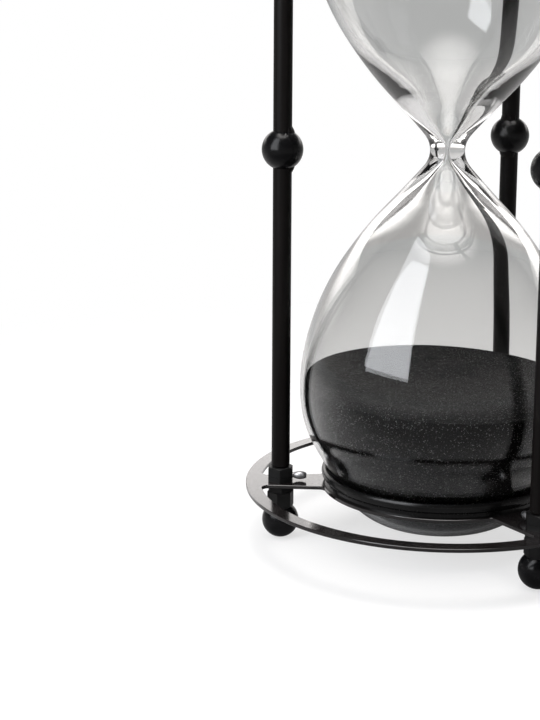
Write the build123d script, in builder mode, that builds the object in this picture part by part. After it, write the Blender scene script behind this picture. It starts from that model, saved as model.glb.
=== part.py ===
"""Large hourglass: a blown double bulb with black sand, held between two ring plates on three posts.

Frame: millimetres, +Z up, origin on the table under the glass axis. The upper half of the frame
is the lower half mirrored about the neck, so the hourglass stands on either end.
"""
from math import cos, hypot, radians, sin, sqrt, tan
import os

from build123d import *

os.makedirs("parts", exist_ok=True)

# Overall
total_h = 428.0
mid_z = total_h / 2

# Posts
post_names = ("left", "front", "back")
post_angle = 180.0          # of the first post, the others follow at equal steps
post_circle_r = 87.0
rod_r = 5.0
thread_r = 4.0              # turned-down ends of the rod
thread_fit = 0.05           # radial gap of a thread in its nut, plate or ball
rod_chamfer = 0.8

# Balls
foot_ball_r = 10.0
foot_flat_r = 2.0           # small flat that the foot stands on
mid_ball_r = 11.0
ball_fit = 0.05             # radial gap between rod and middle ball
weld_width = 1.7            # radial reach of the weld bead beside the rod
weld_length = 3.9           # reach of the weld bead along the rod
weld_arc = 110.0            # degrees of the rod's girth that the bead covers
thread_in_foot = 7.0        # depth of the rod's thread in the foot ball
foot_bore_spare = 1.0       # blind bore beyond the thread's end

# Hexagonal fasteners, across flats 13
hex_flats = 13.0
foot_nut_h = 8.8
lock_nut_h = 4.0
collar_h = 8.0
collar_groove_h = 3.0       # height of the fine line round the collar
collar_groove = 0.25
hex_chamfer_angle = 30.0
hex_face_step = 0.2         # the end face's circle lies this far inside the flats
foot_nut_turns = (16.0, 41.0, 4.0)     # degrees that each nut stopped at
lock_nut_turns = (34.0, 12.0, 50.0)
collar_turn = -3.4

# Set screws, one through each collar towards the glass
screw_axis_h = 3.0          # above the plate
screw_shank_r = 1.4
screw_fit = 0.05
screw_neck = 1.6            # bare shank between collar and head
screw_head_r = 2.2
screw_head_base_r = 1.5
screw_head_tip_r = 1.3
screw_head_l = 6.2

# Ring plates, cut from sheet
plate_t = 2.0
plate_top_z = 32.0
ring_outer_r = 106.0
ring_w = 8.0
hub_outer_r = 64.5
hub_bore_gap = 2.2          # between the bulb and the hub's bore
spoke_hub_w = 23.0
spoke_rim_w = 16.8
rim_fillet = 4.0
hub_fillet = 3.0
plate_edge = 0.25

# Glass
bulb_r = 76.8
bulb_z = 86.0               # height of the widest place
bulb_bottom_z = 8.5
neck_r = 9.2
throat_r = 0.8
glass_wall = 2.5
# The outline between those sizes, as shares of its width and height
foot_shape = ((0.29, 0.015), (0.495, 0.065), (0.677, 0.213), (0.826, 0.458), (0.936, 0.652))
shoulder_shape = (
    (0.919, 0.258), (0.728, 0.492), (0.581, 0.609), (0.404, 0.727), (0.234, 0.823),
    (0.136, 0.880), (0.068, 0.920), (0.021, 0.954),
)
bore_shape = (
    (0.919, 0.258), (0.728, 0.492), (0.585, 0.609), (0.380, 0.727), (0.180, 0.828),
    (0.050, 0.917), (0.009, 0.960),
)

# Cradles and gaskets that hold the bulbs
seat_gap = 0.35             # turning gap between glass and gasket
gasket_t = 1.3
gasket_h = 5.0
cradle_h = 8.0
cradle_outer_r = 64.5
cradle_foot_step = 1.5      # groove under the rounded rim
cradle_foot_h = 1.2
lip_gap = 0.35              # between the glass and the rolled lip

# Sand
sand_level_z = 88.5
sand_dome = 1.5
sand_gap = 0.05

# Heights and places that follow
plate_z = plate_top_z - plate_t
lock_nut_z = plate_z - lock_nut_h
foot_nut_z = lock_nut_z - foot_nut_h
foot_ball_z = sqrt(foot_ball_r**2 - foot_flat_r**2)
rod_z = plate_top_z + collar_h
thread_end_z = foot_nut_z - thread_in_foot
ring_inner_r = ring_outer_r - ring_w
mid_plane = Plane.XY.offset(mid_z)
post_angles = [post_angle + i * 360.0 / len(post_names) for i in range(len(post_names))]
post_points = [
    (post_circle_r * cos(radians(a)), post_circle_r * sin(radians(a))) for a in post_angles
]


def finish(part, name):
    """Label a finished piece and write it as a node of its own."""
    part.label = name
    export_step(part, f"parts/{name}.step")


def bulb_points(radius, bottom, waist, shoulder):
    """Points of a half bulb's outline from its bottom on the axis up to the neck."""
    low = [(r * radius, bottom + h * (bulb_z - bottom)) for r, h in foot_shape]
    high = [
        (waist + r * (radius - waist), bulb_z + h * (mid_z - bulb_z)) for r, h in shoulder
    ]
    return [(0, bottom)] + low + [(radius, bulb_z)] + high + [(waist, mid_z)]


# Half outlines of the glass and the sand, drawn flat: X is the radius, Y the height.
with BuildLine() as glass_outside:
    Spline(
        *bulb_points(bulb_r, bulb_bottom_z, neck_r, shoulder_shape),
        tangents=((1, 0), (0, 1)),
        tangent_scalars=(1, 1),
    )

with BuildLine() as glass_inside:
    Spline(
        *bulb_points(bulb_r - glass_wall, bulb_bottom_z + glass_wall, throat_r, bore_shape),
        tangents=((1, 0), (0, 1)),
        tangent_scalars=(1, 1),
    )

with BuildLine() as sand_outside:
    Spline(
        *bulb_points(
            bulb_r - glass_wall - sand_gap,
            bulb_bottom_z + glass_wall + sand_gap,
            throat_r,
            bore_shape,
        ),
        tangents=((1, 0), (0, 1)),
        tangent_scalars=(1, 1),
    )


def glass_radius(height):
    """Outer radius of the lower bulb at a height between its bottom and the neck."""
    curve = glass_outside.wire()
    low, high = 0.0, 1.0
    for _ in range(40):
        middle = (low + high) / 2
        if curve.position_at(middle).Y < height:
            low = middle
        else:
            high = middle
    return curve.position_at(low).X


# Ring plate: rim, three spokes and a hub ring in one flat piece, with a hole for each rod.
hub_bore_r = glass_radius(plate_top_z) + hub_bore_gap


def spoke_corners(edge):
    """True for the upright edges where a spoke meets the rim or the hub."""
    centre = edge.center()
    distance = hypot(centre.X, centre.Y)
    return hub_outer_r - 1 < distance < ring_inner_r + 1 and abs(centre.Y) > 1


with BuildPart() as lower_frame_plate:
    with BuildSketch(Plane.XY.offset(plate_z)):
        Circle(ring_outer_r)
        Circle(ring_inner_r, mode=Mode.SUBTRACT)
        Circle(hub_outer_r)
        with PolarLocations(0, len(post_names), start_angle=post_angle):
            Polygon(
                (hub_bore_r, -spoke_hub_w / 2),
                (ring_inner_r + ring_w / 2, -spoke_rim_w / 2),
                (ring_inner_r + ring_w / 2, spoke_rim_w / 2),
                (hub_bore_r, spoke_hub_w / 2),
                align=None,
            )
        Circle(hub_bore_r, mode=Mode.SUBTRACT)
    extrude(amount=plate_t)
    corners = lower_frame_plate.edges().filter_by(Axis.Z).filter_by(spoke_corners)
    rim_corners = corners.filter_by(
        lambda e: hypot(e.center().X, e.center().Y) > (hub_outer_r + ring_inner_r) / 2
    )
    hub_corners = corners.filter_by(
        lambda e: hypot(e.center().X, e.center().Y) < (hub_outer_r + ring_inner_r) / 2
    )
    fillet(rim_corners, rim_fillet)
    fillet(hub_corners, hub_fillet)
    chamfer(lower_frame_plate.faces().sort_by(Axis.Z)[-1].edges(), plate_edge)
    chamfer(lower_frame_plate.faces().sort_by(Axis.Z)[0].edges(), plate_edge)
    with Locations(*[(x, y, plate_top_z) for x, y in post_points]):
        Hole(thread_r + thread_fit)
finish(lower_frame_plate.part, "lower_frame_plate")

with BuildPart() as upper_frame_plate:
    mirror(lower_frame_plate.part, about=mid_plane)
finish(upper_frame_plate.part, "upper_frame_plate")

# Cradle: a rolled rim on the hub, conical inside to carry the gasket.
lip_r = glass_radius(plate_top_z + cradle_h) + lip_gap
lip_round = (cradle_outer_r - lip_r) / 2
lip_z = plate_top_z + cradle_h - lip_round
seat_z = plate_top_z + (cradle_h - gasket_h) / 2 - cradle_foot_h / 2
seat_top_z = seat_z + gasket_h


def pocket_radius(height):
    """Inner radius of the cradle, which is the outer radius of the gasket."""
    return glass_radius(height) + seat_gap + gasket_t


with BuildPart() as lower_cradle:
    with BuildSketch(Plane.XZ):
        with BuildLine():
            Polyline(
                (lip_r, lip_z),
                (lip_r, seat_top_z),
                (pocket_radius(seat_top_z), seat_top_z),
                (pocket_radius(seat_z), seat_z),
                (pocket_radius(seat_z), plate_top_z),
                (cradle_outer_r - cradle_foot_step, plate_top_z),
                (cradle_outer_r - cradle_foot_step, plate_top_z + cradle_foot_h),
                (cradle_outer_r, plate_top_z + cradle_foot_h),
                (cradle_outer_r, lip_z),
            )
            ThreePointArc(
                (cradle_outer_r, lip_z),
                (cradle_outer_r - lip_round, lip_z + lip_round),
                (lip_r, lip_z),
            )
        make_face()
    revolve(axis=Axis.Z)
finish(lower_cradle.part, "lower_cradle")

with BuildPart() as upper_cradle:
    mirror(lower_cradle.part, about=mid_plane)
finish(upper_cradle.part, "upper_cradle")

# Gasket: a rubber cone between the cradle and the glass.
with BuildPart() as lower_gasket:
    with BuildSketch(Plane.XZ):
        with BuildLine():
            Polyline(
                (pocket_radius(seat_z), seat_z),
                (pocket_radius(seat_top_z), seat_top_z),
                (glass_radius(seat_top_z) + seat_gap, seat_top_z),
                (glass_radius(seat_z) + seat_gap, seat_z),
                close=True,
            )
        make_face()
    revolve(axis=Axis.Z)
finish(lower_gasket.part, "lower_gasket")

with BuildPart() as upper_gasket:
    mirror(lower_gasket.part, about=mid_plane)
finish(upper_gasket.part, "upper_gasket")

# Glass: two bulbs fused together at the neck, thick where they are drawn in.
with BuildPart() as lower_bulb:
    with BuildSketch(Plane.XZ):
        with BuildLine():
            add(glass_outside.line)
            Line((neck_r, mid_z), (throat_r, mid_z))
            add(glass_inside.line)
            Line((0, bulb_bottom_z), (0, bulb_bottom_z + glass_wall))
        make_face()
    revolve(axis=Axis.Z)
finish(lower_bulb.part, "lower_bulb")

with BuildPart() as upper_bulb:
    mirror(lower_bulb.part, about=mid_plane)
finish(upper_bulb.part, "upper_bulb")

# Sand: fills the lower bulb to a nearly level, slightly domed top.
with BuildPart() as sand:
    with BuildSketch(Plane.XZ):
        with BuildLine():
            add(sand_outside.line)
            Line((throat_r, mid_z), (0, mid_z))
            Line((0, mid_z), (0, bulb_bottom_z + glass_wall + sand_gap))
        make_face()
        with BuildLine():
            Line((0, sand_level_z + sand_dome), (0, 0))
            Line((0, 0), (bulb_r, 0))
            Line((bulb_r, 0), (bulb_r, sand_level_z))
            TangentArc(
                (0, sand_level_z + sand_dome),
                (bulb_r, sand_level_z),
                tangent=(1, 0),
            )
        make_face(mode=Mode.INTERSECT)
    revolve(axis=Axis.Z)
finish(sand.part, "sand")

# Posts: one rod from plate to plate, its ends turned down and threaded, and a welded ball halfway.
for name, (x, y) in zip(post_names, post_points):
    with BuildPart() as post_rod:
        with BuildSketch(Plane((x, y, rod_z))):
            Circle(rod_r)
        extrude(amount=total_h - 2 * rod_z)
        chamfer(post_rod.edges().filter_by(GeomType.CIRCLE), rod_chamfer)
        with BuildSketch(Plane((x, y, thread_end_z))):
            Circle(thread_r)
        extrude(amount=total_h - 2 * thread_end_z)
        thread_ends = post_rod.edges().filter_by(GeomType.CIRCLE).group_by(Axis.Z)
        chamfer(thread_ends[0] + thread_ends[-1], rod_chamfer)
    finish(post_rod.part, f"{name}_post_rod")

    with BuildPart() as middle_ball:
        with Locations((x, y, mid_z)):
            Sphere(mid_ball_r)
            Cylinder(rod_r + ball_fit, 2 * mid_ball_r + 2, mode=Mode.SUBTRACT)
    finish(middle_ball.part, f"{name}_middle_ball")

    with BuildPart() as foot_ball:
        with Locations((x, y, foot_ball_z)):
            Sphere(foot_ball_r)
        split(bisect_by=Plane.XY, keep=Keep.TOP)
        split(bisect_by=Plane.XY.offset(foot_nut_z), keep=Keep.BOTTOM)
        with Locations((x, y, foot_nut_z)):
            Hole(thread_r + thread_fit, depth=thread_in_foot + foot_bore_spare)
    finish(foot_ball.part, f"{name}_lower_foot_ball")

    with BuildPart() as upper_foot_ball:
        mirror(foot_ball.part, about=mid_plane)
    finish(upper_foot_ball.part, f"{name}_upper_foot_ball")

# Weld beads that hold each middle ball, on the side of the rod that faces the glass.
weld_r = rod_r + weld_width
with BuildPart() as weld_bead:
    with BuildSketch(Plane.XZ):
        with BuildLine():
            ThreePointArc(
                (rod_r, -sqrt(mid_ball_r**2 - rod_r**2)),
                (rod_r + weld_width / 2, -sqrt(mid_ball_r**2 - (rod_r + weld_width / 2) ** 2)),
                (weld_r, -sqrt(mid_ball_r**2 - weld_r**2)),
            )
            Line(
                (weld_r, -sqrt(mid_ball_r**2 - weld_r**2)),
                (rod_r, -sqrt(mid_ball_r**2 - weld_r**2) - weld_length),
            )
            Line(
                (rod_r, -sqrt(mid_ball_r**2 - weld_r**2) - weld_length),
                (rod_r, -sqrt(mid_ball_r**2 - rod_r**2)),
            )
        make_face()
    revolve(axis=Axis.Z, revolution_arc=weld_arc)

with BuildPart() as weld_beads:
    for angle, (x, y) in zip(post_angles, post_points):
        with Locations(Location((x, y, mid_z), (0, 0, angle + 180 - weld_arc / 2))):
            add(weld_bead.part)
    mirror(about=mid_plane)
finish(weld_beads.part, "weld_beads")


def hexagon(height, chamfered_bottom, chamfered_top):
    """A hexagonal nut standing on the origin, bored for the thread."""
    corner_r = hex_flats / sqrt(3)
    face_r = hex_flats / 2 - hex_face_step
    rise = (corner_r - face_r) * tan(radians(hex_chamfer_angle))
    square_end = [(corner_r, 0)]
    chamfered_end = [(face_r, 0), (corner_r, rise)]
    low = chamfered_end if chamfered_bottom else square_end
    high = chamfered_end if chamfered_top else square_end
    with BuildPart() as nut:
        with BuildSketch():
            RegularPolygon(corner_r, 6)
        extrude(amount=height)
        with BuildSketch(Plane.XZ):
            with BuildLine():
                Polyline(
                    (0, 0), *low, *[(r, height - h) for r, h in reversed(high)], (0, height),
                    close=True,
                )
            make_face()
        revolve(axis=Axis.Z, mode=Mode.INTERSECT)
        with Locations((0, 0, height)):
            Hole(thread_r + thread_fit)
    return nut.part


foot_nut = hexagon(foot_nut_h, True, False)
lock_nut = hexagon(lock_nut_h, True, True)
plain_collar = hexagon(collar_h, False, True)

# Nut on each foot ball
with BuildPart() as lower_foot_nuts:
    for turn, angle, (x, y) in zip(foot_nut_turns, post_angles, post_points):
        with Locations(Location((x, y, foot_nut_z), (0, 0, angle + turn))):
            add(foot_nut)
finish(lower_foot_nuts.part, "lower_foot_nuts")

with BuildPart() as upper_foot_nuts:
    mirror(lower_foot_nuts.part, about=mid_plane)
finish(upper_foot_nuts.part, "upper_foot_nuts")

# Thin lock nut under each plate hole
with BuildPart() as lower_lock_nuts:
    for turn, angle, (x, y) in zip(lock_nut_turns, post_angles, post_points):
        with Locations(Location((x, y, lock_nut_z), (0, 0, angle + turn))):
            add(lock_nut)
finish(lower_lock_nuts.part, "lower_lock_nuts")

with BuildPart() as upper_lock_nuts:
    mirror(lower_lock_nuts.part, about=mid_plane)
finish(upper_lock_nuts.part, "upper_lock_nuts")

# Hexagonal collar between plate and rod, with a fine line round it and a tapped cross hole
# through the flat that faces the glass.
with BuildPart() as collar:
    add(plain_collar, rotation=(0, 0, 30))
    with BuildSketch(Plane.XY.offset(collar_groove_h)):
        RegularPolygon(hex_flats / sqrt(3) + 1, 6, rotation=30)
        RegularPolygon(hex_flats / sqrt(3) - collar_groove, 6, rotation=30, mode=Mode.SUBTRACT)
    extrude(amount=collar_groove / 2, both=True, mode=Mode.SUBTRACT)
    with BuildSketch(Plane.YZ.offset(-hex_flats)):
        with Locations((0, screw_axis_h)):
            Circle(screw_shank_r + screw_fit)
    extrude(amount=hex_flats, mode=Mode.SUBTRACT)

with BuildPart() as lower_rod_collars:
    for angle, (x, y) in zip(post_angles, post_points):
        with Locations(Location((x, y, plate_top_z), (0, 0, angle + collar_turn))):
            add(collar.part)
finish(lower_rod_collars.part, "lower_rod_collars")

with BuildPart() as upper_rod_collars:
    mirror(lower_rod_collars.part, about=mid_plane)
finish(upper_rod_collars.part, "upper_rod_collars")

# Set screw: its shank bears on the rod's thread, and its barrel-shaped head points at the glass.
shank_end = thread_r + thread_fit
head_start = hex_flats / 2 + screw_neck
head_end = head_start + screw_head_l
tip_start = head_end - screw_head_tip_r
tip_bulge = screw_head_tip_r * sqrt(0.5)
with BuildPart() as set_screw:
    with BuildSketch(Plane.XZ):
        with BuildLine():
            Polyline(
                (-head_end, 0),
                (-shank_end, 0),
                (-shank_end, screw_shank_r),
                (-head_start, screw_shank_r),
                (-head_start, screw_head_base_r),
            )
            ThreePointArc(
                (-head_start, screw_head_base_r),
                (-(head_start + tip_start) / 2, screw_head_r),
                (-tip_start, screw_head_tip_r),
            )
            ThreePointArc(
                (-tip_start, screw_head_tip_r),
                (-tip_start - tip_bulge, tip_bulge),
                (-head_end, 0),
            )
        make_face()
    revolve(axis=Axis.X)

with BuildPart() as lower_set_screws:
    for angle, (x, y) in zip(post_angles, post_points):
        place = Location((x, y, plate_top_z + screw_axis_h), (0, 0, angle + collar_turn))
        with Locations(place):
            add(set_screw.part)
finish(lower_set_screws.part, "lower_set_screws")

with BuildPart() as upper_set_screws:
    mirror(lower_set_screws.part, about=mid_plane)
finish(upper_set_screws.part, "upper_set_screws")
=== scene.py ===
# %% [markdown]
# # A large hourglass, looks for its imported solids
# The hourglass is a blown double bulb with black sand in it, held between two ring plates on three
# posts. Its solids come packed from CAD and are loaded first, as a fixed frame. Everything here is in
# metres, Z points up, and the origin lies on the table under the axis of the glass.

from math import asin, atan2, cos, degrees, pi, radians, sin, sqrt

import bmesh
import bpy
from mathutils import Matrix, Vector, noise


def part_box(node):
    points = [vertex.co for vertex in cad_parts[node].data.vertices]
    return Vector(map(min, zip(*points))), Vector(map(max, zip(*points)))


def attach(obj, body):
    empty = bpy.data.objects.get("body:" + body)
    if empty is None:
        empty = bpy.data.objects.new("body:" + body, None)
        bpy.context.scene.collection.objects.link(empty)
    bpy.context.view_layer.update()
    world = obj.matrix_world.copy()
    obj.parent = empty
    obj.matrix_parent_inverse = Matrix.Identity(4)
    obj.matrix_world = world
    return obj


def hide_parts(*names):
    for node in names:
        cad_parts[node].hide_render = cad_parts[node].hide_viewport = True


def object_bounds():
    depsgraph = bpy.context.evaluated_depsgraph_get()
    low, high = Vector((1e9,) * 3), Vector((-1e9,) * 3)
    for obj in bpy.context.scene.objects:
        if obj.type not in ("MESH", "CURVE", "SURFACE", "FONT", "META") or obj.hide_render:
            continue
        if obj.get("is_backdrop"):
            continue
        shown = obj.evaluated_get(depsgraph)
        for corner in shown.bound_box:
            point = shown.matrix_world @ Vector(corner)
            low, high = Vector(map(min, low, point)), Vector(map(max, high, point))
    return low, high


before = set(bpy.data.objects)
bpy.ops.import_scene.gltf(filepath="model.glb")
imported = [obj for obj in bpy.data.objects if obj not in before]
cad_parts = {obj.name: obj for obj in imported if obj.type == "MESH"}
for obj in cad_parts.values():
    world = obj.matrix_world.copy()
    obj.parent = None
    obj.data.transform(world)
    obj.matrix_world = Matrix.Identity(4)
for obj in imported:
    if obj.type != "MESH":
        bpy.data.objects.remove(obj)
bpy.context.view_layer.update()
MM = 0.001

# %% Sizes that the pieces share
mid_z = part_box("lower_bulb")[1].z
plate_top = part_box("lower_frame_plate")[1].z
ends = ("lower", "upper")
posts = ("left", "front", "back")
post_at = {}
for name in posts:
    low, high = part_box(f"{name}_post_rod")
    post_at[name] = (low + high) / 2
print("middle plane", round(mid_z, 4), "plate top", round(plate_top, 4))

# %% [markdown]
# ## Camera
# The view stands about 0.86 m in front of the axis and looks down a little. The left post comes 6
# degrees towards the viewer, so the camera stands 6 degrees round from the front. A lens of 82 mm on
# a 36 mm sensor keeps the perspective fairly flat.

# %% Camera
camera_turn, camera_back, camera_up = radians(-6), 0.8641, 0.3166
look_turn, look_down, look_roll = radians(-4.91), radians(11.64), radians(0.53)


def from_view(x, y, z):
    """A point given as seen from the camera's side (x right, y away, z up), in the shared frame."""
    return Matrix.Rotation(camera_turn, 3, "Z") @ Vector((x, y, z))


forward = from_view(
    sin(look_turn) * cos(look_down), cos(look_turn) * cos(look_down), -sin(look_down)
)
level_right = forward.cross(Vector((0, 0, 1))).normalized()
level_up = level_right.cross(forward)
right = level_right * cos(look_roll) + level_up * sin(look_roll)
up = level_up * cos(look_roll) - level_right * sin(look_roll)
camera_data = bpy.data.cameras.new("camera")
camera_data.lens, camera_data.sensor_width = 81.9, 36
camera_data.shift_x, camera_data.shift_y = -0.05, -0.1
camera = bpy.data.objects.new("camera", camera_data)
bpy.context.scene.collection.objects.link(camera)
camera_turned = Matrix((right, up, -forward)).transposed().to_4x4()
camera.matrix_world = Matrix.Translation(from_view(0, -camera_back, camera_up)) @ camera_turned
bpy.context.scene.camera = camera
print("camera at", [round(v, 3) for v in camera.matrix_world.translation])

# %% [markdown]
# ## Shader nodes
# Floor, room and finishes are all small node trees. Four helpers keep them readable: one adds a node
# and joins its inputs in the same call, one is the smooth step that every gradient here is made of,
# one mixes two numbers, and one does a sum.


# %% Helpers for shader nodes
def add_node(tree, kind, inputs=None, **settings):
    """Adds a shader node; an input is a number, a colour, or the socket it is joined to."""
    node = tree.nodes.new("ShaderNode" + kind)
    for key, value in settings.items():
        setattr(node, key, value)
    for key, value in (inputs or {}).items():
        if isinstance(value, bpy.types.NodeSocket):
            tree.links.new(value, node.inputs[key])
        else:
            node.inputs[key].default_value = value
    return node


def fade(tree, value, start, end, low=0.0, high=1.0):
    """Goes smoothly from low to high as the value goes from start to end."""
    node = add_node(
        tree, "MapRange",
        {"Value": value, "From Min": start, "From Max": end, "To Min": low, "To Max": high},
        interpolation_type="SMOOTHSTEP",
    )
    return node.outputs["Result"]


def mix(tree, factor, low, high):
    """A number between low and high, by a factor from 0 to 1."""
    return add_node(tree, "Mix", {"Factor": factor, "A": low, "B": high}).outputs["Result"]


def maths(tree, operation, first, second):
    """A sum on two numbers, such as ADD or MULTIPLY."""
    return add_node(tree, "Math", {0: first, 1: second}, operation=operation).outputs[0]


# %% [markdown]
# ## Floor
# The floor is a plain white disc. Glass shows whatever is round it, and clear glass in front of a
# pure white room would vanish, so the floor is white to the camera and grey to the glass and the
# paint: mid grey behind the hourglass, darker close in front of it. Far out it turns into a flat
# glow, so that it has no edge and no horizon. Each stretch is a distance in metres, from and to.

# %% Floor
floor_reach = 6
floor_mesh = bmesh.new()
bmesh.ops.create_circle(floor_mesh, cap_ends=True, segments=96, radius=floor_reach)
floor_data = bpy.data.meshes.new("floor")
floor_mesh.to_mesh(floor_data)
floor_mesh.free()
floor = bpy.data.objects.new("floor", floor_data)
bpy.context.scene.collection.objects.link(floor)
floor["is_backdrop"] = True
print("floor", [round(v, 1) for v in floor.dimensions])

# %% Floor finish
white_seen, grey_behind, grey_near, grey_front = 0.9, 0.5, 0.1, 0.42
front_stretch, behind_stretch = (0.35, 1.1), (-0.25, 0.1)
seen_glow_stretch, lit_glow_stretch, seen_glow_near = (0.2, 0.6), (0.4, 1.5), 0.65
floor_white = bpy.data.materials.new("floor_white")
floor_white.use_nodes = True
tree = floor_white.node_tree
shader = tree.nodes["Principled BSDF"]
shader.inputs["Roughness"].default_value = 0.9
shader.inputs["Specular IOR Level"].default_value = 0.1
to_camera = add_node(tree, "LightPath").outputs["Is Camera Ray"]
place = add_node(tree, "TexCoord").outputs["Object"]
away = add_node(tree, "VectorMath", {0: place}, operation="LENGTH").outputs["Value"]
behind = add_node(
    tree, "VectorMath", {0: place, 1: from_view(0, 1, 0)}, operation="DOT_PRODUCT"
).outputs["Value"]
in_front = fade(tree, away, *front_stretch, grey_near, grey_front)
grey = mix(tree, fade(tree, behind, *behind_stretch), in_front, grey_behind)
tree.links.new(mix(tree, to_camera, grey, white_seen), shader.inputs["Base Color"])
lit_glow = fade(tree, away, *lit_glow_stretch)
seen_glow = fade(tree, away, *seen_glow_stretch, seen_glow_near, 1.0)
glow_share = mix(tree, to_camera, lit_glow, seen_glow)
glow = add_node(tree, "Emission", {"Strength": mix(tree, to_camera, grey, 1.0)}).outputs["Emission"]
both = add_node(tree, "MixShader", {"Fac": glow_share, 1: shader.outputs["BSDF"], 2: glow})
tree.links.new(both.outputs["Shader"], tree.nodes["Material Output"].inputs["Surface"])
floor_data.materials.append(floor_white)
print("floor finish:", len(tree.nodes), "nodes")

# %% [markdown]
# ## Light from the room
# Gloss on black paint is all reflection, so the room's light and dark sides are what shows on it.
# The room is a low bright wall of light behind the hourglass, a glow overhead and dim sides, as in a
# studio, and it is painted into the world rather than built. The flat plates mirror the low wall, and
# where they come near enough to mirror what is above it, they go dark. Heights are sines of the angle
# above the floor, and wall_across is how far a direction faces the wall, up to 1 straight at it.

# %% World
wall_across, wall_rise, wall_edge = (0.3, 0.75), (0.04, 0.24), (0.336, 0.358)
wall_low, wall_full, above_wall = 0.5, 2.7, 0.1
side_rise, side_low, side_high = (0.0, 0.4), 0.42, 0.1
overhead_rise, overhead_glow = (0.88, 0.99), 8.0
world = bpy.data.worlds.new("studio")
bpy.context.scene.world = world
world.use_nodes = True
tree = world.node_tree
tree.nodes.clear()
toward = add_node(tree, "TexCoord").outputs["Generated"]
height = add_node(tree, "SeparateXYZ", {"Vector": toward}).outputs["Z"]
facing = add_node(
    tree, "VectorMath", {0: toward, 1: from_view(0, 1, 0)}, operation="DOT_PRODUCT"
).outputs["Value"]
wall_shape = fade(tree, height, *wall_rise, wall_low, wall_full)
wall = maths(tree, "MULTIPLY", fade(tree, facing, *wall_across), wall_shape)
wall = maths(tree, "MULTIPLY", wall, fade(tree, height, *wall_edge, 1.0, above_wall))
sides = fade(tree, height, *side_rise, side_low, side_high)
overhead = fade(tree, height, *overhead_rise, 0, overhead_glow)
room_light = maths(tree, "MAXIMUM", wall, maths(tree, "ADD", sides, overhead))
lit = add_node(tree, "Background", {"Color": (1, 0.97, 0.955, 1), "Strength": room_light})
seen = add_node(tree, "Background", {"Color": (1, 1, 1, 1)})
to_camera = add_node(tree, "LightPath").outputs["Is Camera Ray"]
room = add_node(
    tree, "MixShader", {"Fac": to_camera, 1: lit.outputs["Background"], 2: seen.outputs["Background"]}
)
add_node(tree, "OutputWorld", {"Surface": room.outputs["Shader"]})
bpy.context.scene.view_settings.view_transform = "Standard"
print("world:", len(tree.nodes), "nodes")

# %% [markdown]
# ## Window
# A tall softbox stands at the front left, like a window. Its mirror image is the bright band that
# curves down the bulb, so its width and height are what give that band its shape.

# %% Softbox
window_at, window_aim = (-0.64, -0.64, 1.02), (0, 0, 1.02)
window_wide, window_tall, window_watts = 0.62, 1.55, 18
window_light = bpy.data.lights.new("window", "AREA")
window_light.shape, window_light.size, window_light.size_y = "RECTANGLE", window_wide, window_tall
window_light.energy, window_light.color = window_watts, (0.94, 0.96, 1.0)
window = bpy.data.objects.new("window", window_light)
bpy.context.scene.collection.objects.link(window)
start, end = from_view(*window_at), from_view(*window_aim)
window_turned = (end - start).to_track_quat("-Z", "Y").to_matrix().to_4x4()
window.matrix_world = Matrix.Translation(start) @ window_turned
print("window at", [round(v, 2) for v in start])

# %% [markdown]
# ## How pieces are made
# Every new piece starts in a bmesh, as the few vertices of an outline or as a seam read off a packed
# solid. It is turned and finished there, and linked with its origin at the frame's origin. The
# helpers do what many of them share: one turns an outline round an upright axis, as a lathe does, one
# gives the points of an arc in an outline, one turns a lower piece over for the upper end, and the
# last two hand the mesh to the frame.


# %% Helpers for meshes
def turn_outline(bm, points, at=(0, 0), steps=96, joined=False):
    """Spins an outline of (radius, height) points in millimetres about an upright axis."""
    x, y = at[0], at[1]
    line = [bm.verts.new((x + r * MM, y, h * MM)) for r, h in points]
    edges = [bm.edges.new(pair) for pair in zip(line, line[1:])]
    if joined:
        edges.append(bm.edges.new((line[-1], line[0])))
    bmesh.ops.spin(
        bm, geom=line + edges, cent=(x, y, 0), axis=(0, 0, 1), angle=2 * pi, steps=steps,
        use_merge=True,
    )
    bmesh.ops.remove_doubles(bm, verts=bm.verts, dist=1e-6)


def arc(centre, radius, start, end, steps):
    """Points of an arc in an outline; angles in degrees from the level outward direction."""
    return [
        (
            centre[0] + radius * cos(radians(start + (end - start) * i / steps)),
            centre[1] + radius * sin(radians(start + (end - start) * i / steps)),
        )
        for i in range(steps + 1)
    ]


def to_upper(bm):
    """Turns a lower piece over about the middle plane."""
    bmesh.ops.scale(bm, vec=(1, 1, -1), verts=bm.verts)
    bmesh.ops.translate(bm, vec=(0, 0, 2 * mid_z), verts=bm.verts)


# %% Helpers that hand a mesh over
def link_piece(bm, name, body, nodes, material, sharp):
    """Links the mesh as a piece, shaded smooth except over edges sharper than so many degrees."""
    for face in bm.faces:
        face.smooth = True
    for edge in bm.edges:
        edge.smooth = edge.calc_face_angle(0) < radians(sharp)
    mesh = bpy.data.meshes.new(name)
    bm.to_mesh(mesh)
    bm.free()
    mesh.materials.append(material)
    piece = bpy.data.objects.new(name, mesh)
    bpy.context.scene.collection.objects.link(piece)
    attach(piece, body)
    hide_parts(*nodes)
    print(name, len(mesh.polygons), "faces")


def finish_piece(bm, name, body, nodes, material, sharp=35):
    """Turns all faces outwards first; for every closed shape but the glass with its two walls."""
    bmesh.ops.recalc_face_normals(bm, faces=bm.faces)
    link_piece(bm, name, body, nodes, material, sharp)


# %% [markdown]
# ## Black paint
# Plates, cradles, rods, balls and nuts are painted steel. The plates have the deepest gloss and a
# thin clear coat, the rods and nuts are satin. Paint is never one flat value: soft clouds run through
# its tone and fine scuffs through its roughness, both drawn out along the rods, and an orange-peel
# ripple lies in its bump. All of it is noise on Object coordinates, so nothing has to be unwrapped.


# %% Helpers for finishes
def new_finish(name):
    """A material, its node tree and its one shader."""
    material = bpy.data.materials.new(name)
    material.use_nodes = True
    return material, material.node_tree, material.node_tree.nodes["Principled BSDF"]


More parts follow.
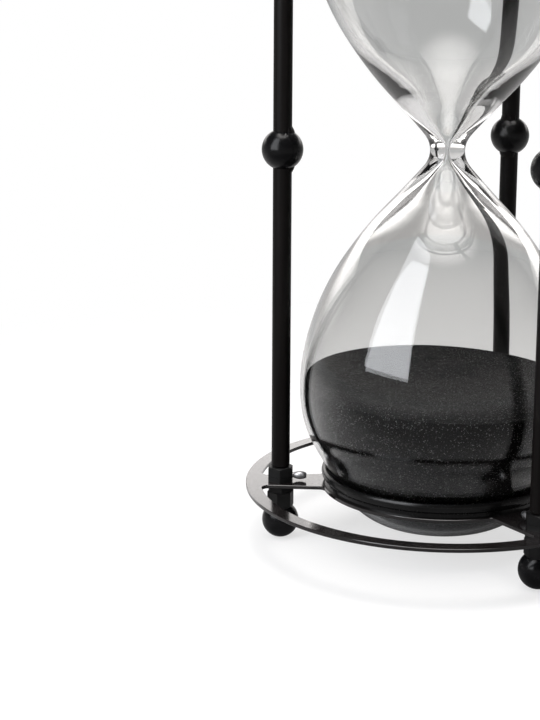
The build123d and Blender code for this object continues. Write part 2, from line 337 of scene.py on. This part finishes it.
def ramp(tree, value, stops):
    """A colour ramp: stops are (place, grey) or (place, (r, g, b))."""
    node = tree.nodes.new("ShaderNodeValToRGB")
    tree.links.new(value, node.inputs["Fac"])
    elements = node.color_ramp.elements
    while len(elements) < len(stops):
        elements.new(0.5)
    for element, (position, colour) in zip(elements, stops):
        element.position = position
        element.color = (*(colour if isinstance(colour, tuple) else (colour,) * 3), 1)
    return node.outputs["Color"]


def spread(tree, value, low, high):
    """The middle of a noise's range, stretched over low to high."""
    inputs = {"Value": value, "From Min": 0.3, "From Max": 0.7, "To Min": low, "To Max": high}
    return add_node(tree, "MapRange", inputs).outputs["Result"]


def raise_bump(tree, shader, height, distance, **settings):
    """Raises the surface by a height pattern; distance is its depth in mm."""
    inputs = {"Height": height, "Distance": distance * MM, "Strength": 1.0}
    bump = add_node(tree, "Bump", inputs, **settings)
    tree.links.new(bump.outputs["Normal"], shader.inputs["Normal"])


def black_paint(name, colour, roughness, peel, peel_size, specular, streak=(1, 1, 1), coat=0.0):
    """Satin or gloss paint: peel is the ripple's height in mm, peel_size its width in mm."""
    material, tree, shader = new_finish(name)
    place = add_node(tree, "TexCoord").outputs["Object"]
    along = add_node(tree, "Mapping", {"Vector": place, "Scale": streak}).outputs["Vector"]
    cloud = add_node(tree, "TexNoise", {"Vector": along, "Scale": 60.0, "Detail": 4.0, "Roughness": 0.6})
    fine = add_node(tree, "TexNoise", {"Vector": along, "Scale": 900.0, "Detail": 2.0})
    lighter = tuple(c * 1.9 + 0.002 for c in colour)
    tone = ramp(tree, cloud.outputs["Fac"], [(0.35, colour), (0.62, lighter)])
    tree.links.new(tone, shader.inputs["Base Color"])
    tree.links.new(spread(tree, fine.outputs["Fac"], *roughness), shader.inputs["Roughness"])
    ripple = add_node(tree, "TexNoise", {"Vector": place, "Scale": 1 / (peel_size * MM), "Detail": 1.0})
    raise_bump(tree, shader, ripple.outputs["Fac"], peel)
    shader.inputs["Specular IOR Level"].default_value = specular
    if coat:
        shader.inputs["Coat Weight"].default_value = coat
        shader.inputs["Coat Roughness"].default_value = 0.08
    print(name, "roughness", roughness)
    return material


# %% Paints
plate_paint = black_paint(
    "plate_gloss_black", (0.006, 0.005, 0.005), (0.1, 0.2), 0.0015, 2.2, 0.6, coat=0.3
)
cradle_paint = black_paint("cradle_gloss_black", (0.003, 0.003, 0.003), (0.2, 0.28), 0.002, 2.0, 0.3)
rod_paint = black_paint(
    "rod_satin_black", (0.0028, 0.0022, 0.002), (0.34, 0.5), 0.01, 1.0, 0.1, streak=(4, 4, 0.12)
)
ball_paint = black_paint("ball_gloss_black", (0.002, 0.002, 0.0023), (0.16, 0.26), 0.003, 1.5, 0.2)
nut_paint = black_paint("nut_satin_black", (0.006, 0.006, 0.006), (0.36, 0.5), 0.006, 0.7, 0.16)

# %% [markdown]
# ## Screw steel and gasket rubber
# The set screws are bare steel, a little tarnished: a metal whose tone and roughness wander together.
# The gaskets are dull black rubber with a fine grain, dark enough to read as a shadow line.

# %% Screw steel
screw_steel, tree, shader = new_finish("screw_steel")
place = add_node(tree, "TexCoord").outputs["Object"]
tarnish = add_node(tree, "TexNoise", {"Vector": place, "Scale": 700.0, "Detail": 3.0}).outputs["Fac"]
steel_tone = ramp(tree, tarnish, [(0.3, (0.36, 0.36, 0.37)), (0.7, (0.62, 0.62, 0.63))])
tree.links.new(steel_tone, shader.inputs["Base Color"])
tree.links.new(spread(tree, tarnish, 0.3, 0.5), shader.inputs["Roughness"])
shader.inputs["Metallic"].default_value = 1.0
print(screw_steel.name, len(tree.nodes), "nodes")

# %% Gasket rubber
gasket_rubber, tree, shader = new_finish("gasket_rubber")
place = add_node(tree, "TexCoord").outputs["Object"]
grain = add_node(tree, "TexNoise", {"Vector": place, "Scale": 1800.0, "Detail": 2.0}).outputs["Fac"]
tree.links.new(ramp(tree, grain, [(0.3, 0.008), (0.7, 0.018)]), shader.inputs["Base Color"])
raise_bump(tree, shader, grain, 0.02)
shader.inputs["Roughness"].default_value = 0.75
print(gasket_rubber.name, len(tree.nodes), "nodes")

# %% [markdown]
# ## Plates, nuts, collars and gaskets
# Their solids already have the right edges: chamfered sheet, hexagons with turned corners, the fine
# line round each collar and the gasket's cone. They stay as they are and get their finish.

# %% Finishes on the solids that stay
kept = {
    "frame_plate": plate_paint, "rod_collars": nut_paint, "lock_nuts": nut_paint,
    "foot_nuts": nut_paint, "gasket": gasket_rubber,
}
for end in ends:
    for part, material in kept.items():
        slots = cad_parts[f"{end}_{part}"].data.materials
        slots.clear()
        slots.append(material)
print("kept solids:", 2 * len(kept))

# %% [markdown]
# ## Cradles
# Each bulb sits in a cradle: a ring pressed from sheet and rolled over at the lip, so that its outer
# side is a full round bead with a groove under it. Inside it is a cone that carries the rubber
# gasket. The cone has to match the gasket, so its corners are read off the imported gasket, whose seam
# lies in the plane y = 0. The outline is then turned, and turned over for the upper end.


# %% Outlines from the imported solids
def seam_of(node):
    """The edges of a turned solid that lie in the half plane y = 0, x > 0, as a bmesh of its own."""
    bm = bmesh.new()
    bm.from_mesh(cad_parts[node].data)
    bmesh.ops.remove_doubles(bm, verts=bm.verts, dist=1e-6)
    away = [v for v in bm.verts if abs(v.co.y) > 1e-5 or v.co.x < -1e-5]
    bmesh.ops.delete(bm, geom=away, context="VERTS")
    bmesh.ops.delete(bm, geom=bm.faces[:], context="FACES_ONLY")
    for vert in bm.verts:
        vert.co.y = 0
    print(node, "seam of", len(bm.verts), "points")
    return bm


seam = seam_of("lower_gasket")
corners = [(v.co.x / MM, v.co.z / MM) for v in seam.verts]
seam.free()
seat_low, seat_top = min(h for r, h in corners), max(h for r, h in corners)
seat_low_r = max(r for r, h in corners if h < seat_low + 0.01)
seat_top_r = max(r for r, h in corners if h > seat_top - 0.01)
print("gasket seat from", round(seat_low, 2), "to", round(seat_top, 2), "mm")

# %% Rolled cradles
bead_at, bead_r, lip_at, lip_r = (61.0, 37.5), 3.5, (62.9, 38.61), 1.3
groove_r, groove_top, bead_start = 62.6, 33.7, -65
lean = degrees(atan2(lip_at[1] - bead_at[1], lip_at[0] - bead_at[0]))
plate_h = plate_top / MM
cradle_outline = (
    [(groove_r, plate_h), (groove_r, groove_top)]
    + arc(bead_at, bead_r, bead_start, lean, 20)
    + arc(lip_at, lip_r, lean, 180, 14)[1:]
    + [(lip_at[0] - lip_r, seat_top), (seat_top_r, seat_top), (seat_low_r, seat_low), (seat_low_r, plate_h)]
)
for end in ends:
    bm = bmesh.new()
    turn_outline(bm, cradle_outline, steps=160, joined=True)
    if end == "upper":
        to_upper(bm)
    finish_piece(
        bm, f"{end}_rolled_cradle", "frame", [f"{end}_cradle"], cradle_paint
    )

# %% [markdown]
# ## Set screws
# A small steel screw goes through each collar towards the glass. Its head is a barrel with rounded
# ends. One is turned upright and laid on its side, pointing at the glass from the post on +X. Copies
# of it are turned about the hourglass's axis, and all three are turned half a turn to the posts.

# %% Screws
screw_h, collar_turn, shank_r, shank_from = 3.0, radians(-3.4), 1.4, 4.1
head_from, head_to, barrel_end_r, barrel_r = 7.4, 14.2, 1.65, 2.25
barrel = [
    (
        barrel_end_r + (barrel_r - barrel_end_r) * sin(pi * i / 10),
        head_from + 0.2 + (head_to - head_from - 0.6) * i / 10,
    )
    for i in range(1, 10)
]
screw_outline = (
    [(0, shank_from), (shank_r, shank_from), (shank_r, head_from), (barrel_end_r, head_from + 0.05)]
    + barrel
    + [(1.6, head_to - 0.4), (1.35, head_to - 0.1), (1.0, head_to), (0, head_to)]
)
post_circle = post_at["front"].xy.length
for end in ends:
    bm = bmesh.new()
    turn_outline(bm, screw_outline, steps=40)
    bmesh.ops.rotate(bm, verts=bm.verts, matrix=Matrix.Rotation(radians(90), 3, "Y"))
    bmesh.ops.scale(bm, vec=(-1, 1, 1), verts=bm.verts)
    bmesh.ops.rotate(bm, verts=bm.verts, matrix=Matrix.Rotation(collar_turn, 3, "Z"))
    bmesh.ops.translate(bm, vec=(post_circle, 0, plate_top + screw_h * MM), verts=bm.verts)
    one = bm.verts[:] + bm.edges[:] + bm.faces[:]
    for copy in (1, 2):
        made = bmesh.ops.duplicate(bm, geom=one)
        turned = [g for g in made["geom"] if isinstance(g, bmesh.types.BMVert)]
        bmesh.ops.rotate(bm, verts=turned, matrix=Matrix.Rotation(copy * 2 * pi / 3, 3, "Z"))
    bmesh.ops.rotate(bm, verts=bm.verts, matrix=Matrix.Rotation(pi, 3, "Z"))
    if end == "upper":
        to_upper(bm)
    finish_piece(bm, f"{end}_screws", "frame", [f"{end}_set_screws"], screw_steel)

# %% [markdown]
# ## Posts
# Each post is one rod with turned-down ends, a ball welded halfway up it and a ball foot screwed on
# each end. All are lathe work, so an outline is turned about the post's own axis. A foot ball has a
# small flat to stand on and a blind bore for the rod's thread.

# %% Rods
rod_r, thread_r, rod_foot, thread_foot, chamfer = 5.0, 4.0, 40.0, 10.2, 0.8
mid_h = mid_z / MM
half_rod = [
    (0, thread_foot), (thread_r - chamfer, thread_foot), (thread_r, thread_foot + chamfer),
    (thread_r, rod_foot), (rod_r - chamfer, rod_foot), (rod_r, rod_foot + chamfer),
]
rod_outline = half_rod + [(rod_r, mid_h)] + [(r, 2 * mid_h - h) for r, h in reversed(half_rod)]
for name in posts:
    bm = bmesh.new()
    turn_outline(bm, rod_outline, post_at[name], 64)
    finish_piece(bm, f"{name}_rod", "frame", [f"{name}_post_rod"], rod_paint)

# %% Middle balls
ball_r, bore_r = 11.0, 5.05
mouth = degrees(asin(sqrt(ball_r**2 - bore_r**2) / ball_r))
ball_outline = arc((0, mid_h), ball_r, -mouth, mouth, 48)
for name in posts:
    bm = bmesh.new()
    turn_outline(bm, ball_outline, post_at[name], 96, joined=True)
    finish_piece(bm, f"{name}_ball", "frame", [f"{name}_middle_ball"], ball_paint)

# %% Foot balls
foot_r, flat_r, nut_z, foot_bore_r, bore_end = 10.0, 2.0, 17.2, 4.05, 9.2
foot_z = sqrt(foot_r**2 - flat_r**2)
flat_turn = degrees(asin(-foot_z / foot_r))
nut_turn = degrees(asin((nut_z - foot_z) / foot_r))
foot_outline = (
    [(0, 0)]
    + arc((0, foot_z), foot_r, flat_turn, nut_turn, 48)
    + [(foot_bore_r, nut_z), (foot_bore_r, bore_end), (0, bore_end)]
)
for name in posts:
    for end in ends:
        bm = bmesh.new()
        turn_outline(bm, foot_outline, post_at[name], 96)
        if end == "upper":
            to_upper(bm)
        node = f"{name}_{end}_foot_ball"
        finish_piece(bm, f"{name}_{end}_foot", "frame", [node], ball_paint)

# %% [markdown]
# ## Weld beads
# The middle balls are held by a short bead of weld in the corner between ball and rod, above and
# below, on the side that faces the glass. A bead is laid in overlapping puddles, so its section is
# turned part of the way round the rod, and its skin is pushed in and out in ripples and drawn in at
# both ends.

# %% Sections turned round the rods
bead_reach, bead_length, bead_arc, puddles, sunk = 1.7, 3.9, radians(110), 9, 0.1
belly_reach, belly_rise = 0.62, 0.42
bm = bmesh.new()
for name in posts:
    post = post_at[name]
    facing = atan2(-post.y, -post.x)
    for side in (-1, 1):
        seam_z = mid_z + side * sqrt(ball_r**2 - (rod_r + bead_reach) ** 2) * MM
        heel_z = mid_z + side * (sqrt(ball_r**2 - rod_r**2) - 0.3) * MM
        tip_z = seam_z + side * bead_length * MM
        section = [
            bm.verts.new((post.x + r * MM, post.y, z))
            for r, z in (
                (rod_r - sunk, heel_z), (rod_r + bead_reach, seam_z),
                (rod_r + belly_reach * bead_reach, seam_z + belly_rise * (tip_z - seam_z)),
                (rod_r - sunk, tip_z),
            )
        ]
        ring = [bm.edges.new(pair) for pair in zip(section, section[1:] + section[:1])]
        first_turn = Matrix.Rotation(facing - bead_arc / 2, 3, "Z")
        bmesh.ops.rotate(bm, verts=section, cent=post, matrix=first_turn)
        cap = bm.faces.new(section)
        bmesh.ops.spin(
            bm, geom=section + ring + [cap], cent=post, axis=(0, 0, 1), angle=bead_arc, steps=54
        )
bmesh.ops.remove_doubles(bm, verts=bm.verts, dist=1e-6)
print("bead sections turned:", len(bm.verts), "points")

# %% Ripples of the puddles
ripple_depth, end_share = 0.22, 0.35
for vert in bm.verts:
    post = min(post_at.values(), key=lambda p: (vert.co.xy - p.xy).length)
    out = vert.co.xy - post.xy
    turn = atan2(out.y, out.x) - atan2(-post.y, -post.x)
    along = ((turn + pi) % (2 * pi) - pi) / bead_arc + 0.5
    swell = 1 - ripple_depth + ripple_depth * abs(sin(along * puddles * pi)) ** 0.6
    taper = end_share + (1 - end_share) * max(0.0, 1 - (2 * along - 1) ** 6)
    reach = out.length - rod_r * MM
    if reach > 0:
        vert.co.xy = post.xy + out.normalized() * (rod_r * MM + reach * swell * taper)
bmesh.ops.smooth_vert(
    bm, verts=bm.verts, factor=0.25, use_axis_x=True, use_axis_y=True, use_axis_z=True
)
finish_piece(bm, "welds", "frame", ["weld_beads"], rod_paint, sharp=80)

# %% [markdown]
# ## Glass
# The two bulbs are blown glass, fused at the neck: a wall of 2.5 mm that thickens to about 8 mm
# round the throat. What makes it look like glass is that light bends at both faces of the wall, so
# the piece needs an outside and an inside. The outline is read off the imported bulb, doubled about
# the neck, and turned. The inside is then turned over, because its faces have to point into the
# hollow.


# %% Turning a whole outline
def spin_all(bm, steps):
    """Turns an outline that starts and ends on the axis into a closed skin."""
    bmesh.ops.spin(
        bm, geom=bm.verts[:] + bm.edges[:], cent=(0, 0, 0), axis=(0, 0, 1), angle=2 * pi,
        steps=steps, use_merge=True,
    )
    bmesh.ops.remove_doubles(bm, verts=bm.verts, dist=2e-6)
    bmesh.ops.dissolve_degenerate(bm, edges=bm.edges, dist=1e-7)
    bmesh.ops.recalc_face_normals(bm, faces=bm.faces)
    print("turned:", len(bm.faces), "faces")


# %% [markdown]
# ## Glass finish
# Clean glass has hardly any colour of its own. What the eye reads as grey is the floor and the room
# behind it, seen through two walls.

# %% Glass finish
blown_glass, tree, shader = new_finish("blown_glass")
shader.inputs["Base Color"].default_value = (0.965, 0.97, 0.965, 1)
shader.inputs["Transmission Weight"].default_value = 1.0
shader.inputs["IOR"].default_value = 1.47
shader.inputs["Roughness"].default_value = 0.0
print("glass bends light by", round(shader.inputs["IOR"].default_value, 2))

# %% Blown glass
glass = bmesh.new()
for wall in ("outside", "inside"):
    bm = seam_of("lower_bulb")
    level = [e for e in bm.edges if all(abs(v.co.z - mid_z) < 1e-6 for v in e.verts)]
    bmesh.ops.delete(bm, geom=level, context="EDGES")
    outer, queue = set(), [min(bm.verts, key=lambda v: v.co.z)]
    while queue:
        vert = queue.pop()
        if vert not in outer:
            outer.add(vert)
            queue += [e.other_vert(vert) for e in vert.link_edges]
    other = [v for v in bm.verts if (v in outer) != (wall == "outside")]
    bmesh.ops.delete(bm, geom=other, context="VERTS")
    bmesh.ops.mirror(
        bm, geom=bm.verts[:] + bm.edges[:], matrix=Matrix.Translation((0, 0, -mid_z)),
        merge_dist=1e-6, axis="Z",
    )
    spin_all(bm, 160)
    if wall == "inside":
        bmesh.ops.reverse_faces(bm, faces=bm.faces)
    turned_wall = bpy.data.meshes.new("wall")
    bm.to_mesh(turned_wall)
    bm.free()
    glass.from_mesh(turned_wall)
    bpy.data.meshes.remove(turned_wall)
link_piece(glass, "blown_glass", "glass", ["lower_bulb", "upper_bulb"], blown_glass, sharp=180)

# %% [markdown]
# ## Sand
# Black sand, less than half a millimetre a grain. It lies nearly level, a little crowned under the
# throat and a few millimetres higher on one side, as it settled. Its outline is read off the packed
# solid too, and its top is divided finely so that it can be a little uneven. The grains are cells of
# a Voronoi pattern: each has its own tone and most are nearly black. The lightest few are painted
# glints: a pale colour stands in for light caught on a grain.

# %% Sand finish
grains_per_metre = 2500.0
sand_grains, tree, shader = new_finish("black_sand")
place = add_node(tree, "TexCoord").outputs["Object"]
grains = add_node(tree, "TexVoronoi", {"Vector": place, "Scale": grains_per_metre}, feature="F1")
tone = add_node(tree, "SeparateColor", {"Color": grains.outputs["Color"]})
# Most stops are the grains' own dark tones. The last, pale stop is painted glints: colour standing in for
# light caught on a few grains.
grain_tones_and_glints = [(0.0, 0.002), (0.6, 0.004), (0.86, 0.01), (0.94, 0.03), (0.975, 0.16)]
tree.links.new(ramp(tree, tone.outputs["Red"], grain_tones_and_glints), shader.inputs["Base Color"])
rough = add_node(tree, "MapRange", {"Value": tone.outputs["Green"], "To Min": 0.6, "To Max": 1.0})
tree.links.new(rough.outputs["Result"], shader.inputs["Roughness"])
raise_bump(tree, shader, grains.outputs["Distance"], 0.12, invert=True)
shader.inputs["Specular IOR Level"].default_value = 0.05
print("a grain is", round(1000 / grains_per_metre, 2), "mm")

# %% Sand heap
bm = seam_of("sand")
crown_from, rim_r, rim_fade = 0.087, 0.0742, 0.004
lean_back, lean_left, settled, clear_of_glass = 0.04, 0.03, 0.6, 0.998
crown = [
    e for e in bm.edges
    if all(v.co.z > crown_from for v in e.verts) and abs(e.verts[0].co.x - e.verts[1].co.x) > 0.001
]
bmesh.ops.subdivide_edges(bm, edges=crown, cuts=30)
spin_all(bm, 128)
to_back, to_right = from_view(0, 1, 0), from_view(1, 0, 0)
for vert in bm.verts:
    if vert.co.z > crown_from + 0.0005:
        rise = noise.noise(vert.co * 45) * 0.8 + noise.noise(vert.co * 160) * 0.25
        slope = lean_back * vert.co.dot(to_back) - lean_left * vert.co.dot(to_right)
        inside = min(1.0, (rim_r - vert.co.xy.length) / rim_fade)
        vert.co.z += slope + (settled + rise * inside) * MM
        vert.co.xy *= clear_of_glass
print("sand reaches up to", round(max(v.co.z for v in bm.verts), 4), "m")
finish_piece(bm, "black_sand", "glass", ["sand"], sand_grains, sharp=60)

# %% [markdown]
# ## Measure
# The box round every shown piece, the floor left out, is measured and printed in millimetres. The
# looks have to stay inside the CAD model's box.

# %% Measure and finish
low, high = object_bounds()
print("visual box in mm:", [round(v / MM, 2) for v in (*low, *high)])
